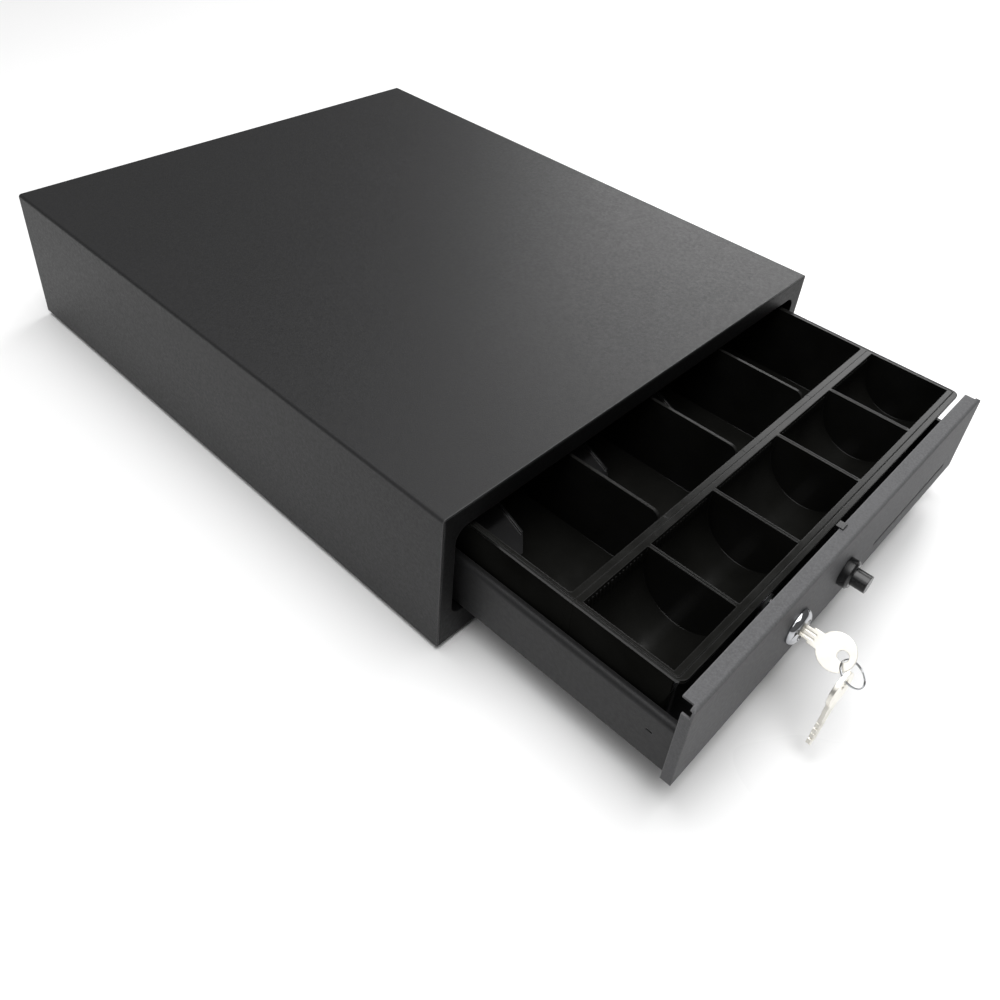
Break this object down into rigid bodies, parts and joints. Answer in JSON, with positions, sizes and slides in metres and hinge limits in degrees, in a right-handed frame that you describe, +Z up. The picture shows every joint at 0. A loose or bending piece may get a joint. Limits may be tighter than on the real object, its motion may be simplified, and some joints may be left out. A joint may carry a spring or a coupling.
{
  "type": "cash drawer",
  "caption": "Flat steel cash drawer, part open, with a moulded till of bill bays and coin cups, bill clips, a cam lock with its keys, a push button, a media slot and a solenoid latch.",
  "frame": {"origin": "middle of the base pan's fixing holes, on its underside", "axes": "+X to the user's right across the housing, +Y to the back along the drawer's travel, +Z up"},
  "size_m": [0.33, 0.5709, 0.093],
  "materials": {
    "cover_black": "fine textured powder coat",
    "frame_black": "fine textured powder coat",
    "drawer_black": "fine textured powder coat",
    "zinc_steel": "zinc plated",
    "black_moulding": "moulded, fine grain on the rim",
    "clip_plastic": "smooth moulded",
    "button_plastic": "moulded",
    "roller_plastic": "moulded acetal",
    "chrome": "polished",
    "key_metal": "nickel plated brass",
    "foot_rubber": "moulded",
    "copper_wire": "enamelled copper wire, taped"
  },
  "bodies": {
    "housing": {"top_cover": "cover_black", "base_pan": "frame_black", "front_frame": "frame_black", "rear_panel": "frame_black", "left_rail": "zinc_steel", "right_rail": "zinc_steel", "front_axles": "zinc_steel", "feet": "foot_rubber", "cover_screws": "zinc_steel", "rail_rivets": "zinc_steel", "latch_bracket": "zinc_steel", "bracket_screws": "zinc_steel", "latch_pin": "zinc_steel", "latch_spacer": "roller_plastic", "latch_spring": "zinc_steel", "solenoid_frame": "zinc_steel", "solenoid_coil": "copper_wire", "ejector_tube": "zinc_steel", "ejector_plunger": "roller_plastic", "drawer_switch": "button_plastic", "port_socket": "button_plastic"},
    "drawer": {"drawer_tray": "drawer_black", "bezel": "drawer_black", "bezel_screws": "zinc_steel", "till_coins": "black_moulding", "till_bay_1": "black_moulding", "till_bay_2": "black_moulding", "till_bay_3": "black_moulding", "till_bay_4": "black_moulding", "till_rests": "drawer_black", "till_tab": "black_moulding", "lock_barrel": "chrome", "lock_nut": "zinc_steel", "button_collar": "button_plastic", "button_nut": "button_plastic", "latch_striker": "zinc_steel", "drawer_axles": "zinc_steel", "clip_pins": "zinc_steel"},
    "lock_cylinder": {"lock_plug": "key_metal", "lock_cam": "zinc_steel", "cam_screw": "zinc_steel"},
    "lock_key": {"key": "key_metal"},
    "split_ring": {"key_ring": "chrome"},
    "hanging_key": {"spare_key": "key_metal"},
    "push_button": {"button_plunger": "button_plastic"},
    "hook": {"latch_hook": "zinc_steel"},
    "plunger": {"solenoid_plunger": "zinc_steel"},
    "roller_front_left": {"front_roller_left": "roller_plastic"},
    "roller_front_right": {"front_roller_right": "roller_plastic"},
    "roller_rear_left": {"rear_roller_left": "roller_plastic"},
    "roller_rear_right": {"rear_roller_right": "roller_plastic"},
    "clip_1": {"bill_clip_1": "clip_plastic"},
    "clip_2": {"bill_clip_2": "clip_plastic"},
    "clip_3": {"bill_clip_3": "clip_plastic"},
    "clip_4": {"bill_clip_4": "clip_plastic"}
  },
  "joints": [
    {"name": "drawer_slide", "type": "slide", "parent": "housing", "child": "drawer", "axis": [0, -1, 0], "range_m": [-0.131, 0.115]},
    {"name": "lock_turn", "type": "hinge", "parent": "drawer", "child": "lock_cylinder", "pos_m": [-0.055, -0.331, 0.042], "axis": [0, 1, 0], "range_deg": [-45, 45]},
    {"name": "key_pull", "type": "slide", "parent": "lock_cylinder", "child": "lock_key", "axis": [0, -1, 0], "range_m": [0, 0.03]},
    {"name": "ring_swing", "type": "hinge", "parent": "lock_key", "child": "split_ring", "pos_m": [-0.05557, -0.35739, 0.04143], "axis": [-0.9305, 0.2868, 0.228], "range_deg": [-15, 15]},
    {"name": "spare_key_swing", "type": "hinge", "parent": "split_ring", "child": "hanging_key", "pos_m": [-0.06488, -0.36252, 0.0401], "axis": [-0.161, -0.9848, 0.065], "range_deg": [-20, 20]},
    {"name": "button_press", "type": "slide", "parent": "drawer", "child": "push_button", "axis": [0, 1, 0], "range_m": [0, 0.0035], "stiffness_N_per_m": 400},
    {"name": "latch_turn", "type": "hinge", "parent": "housing", "child": "hook", "pos_m": [0.022, 0.1485, 0.0385], "axis": [0, 0, 1], "range_deg": [-18.2, 0]},
    {"name": "solenoid_stroke", "type": "slide", "parent": "housing", "child": "plunger", "axis": [0, 1, 0], "range_m": [-0.00714, 0]},
    {"name": "front_roller_left_spin", "type": "hinge", "parent": "housing", "child": "roller_front_left", "pos_m": [-0.1395, -0.178, 0.0117], "axis": [1, 0, 0], "continuous": true},
    {"name": "rear_roller_left_spin", "type": "hinge", "parent": "drawer", "child": "roller_rear_left", "pos_m": [-0.1545, -0.0275, 0.0315], "axis": [1, 0, 0], "continuous": true},
    {"name": "front_roller_right_spin", "type": "hinge", "parent": "housing", "child": "roller_front_right", "pos_m": [0.1395, -0.178, 0.0117], "axis": [1, 0, 0], "continuous": true},
    {"name": "rear_roller_right_spin", "type": "hinge", "parent": "drawer", "child": "roller_rear_right", "pos_m": [0.1545, -0.0275, 0.0315], "axis": [1, 0, 0], "continuous": true},
    {"name": "bill_clip_1_lift", "type": "hinge", "parent": "drawer", "child": "clip_1", "pos_m": [-0.12, -0.0765, 0.0635], "axis": [-1, 0, 0], "range_deg": [0, 14], "stiffness_Nm_per_rad": 0.4},
    {"name": "bill_clip_2_lift", "type": "hinge", "parent": "drawer", "child": "clip_2", "pos_m": [-0.0488, -0.0765, 0.0635], "axis": [-1, 0, 0], "range_deg": [0, 14], "stiffness_Nm_per_rad": 0.4},
    {"name": "bill_clip_3_lift", "type": "hinge", "parent": "drawer", "child": "clip_3", "pos_m": [0.0224, -0.0765, 0.0635], "axis": [-1, 0, 0], "range_deg": [0, 14], "stiffness_Nm_per_rad": 0.4},
    {"name": "bill_clip_4_lift", "type": "hinge", "parent": "drawer", "child": "clip_4", "pos_m": [0.0936, -0.0765, 0.0635], "axis": [-1, 0, 0], "range_deg": [0, 14], "stiffness_Nm_per_rad": 0.4}
  ],
  "couplings": [
    {"joint": "latch_turn", "follows": "solenoid_stroke", "rad_per_m": 43.949}
  ]
}
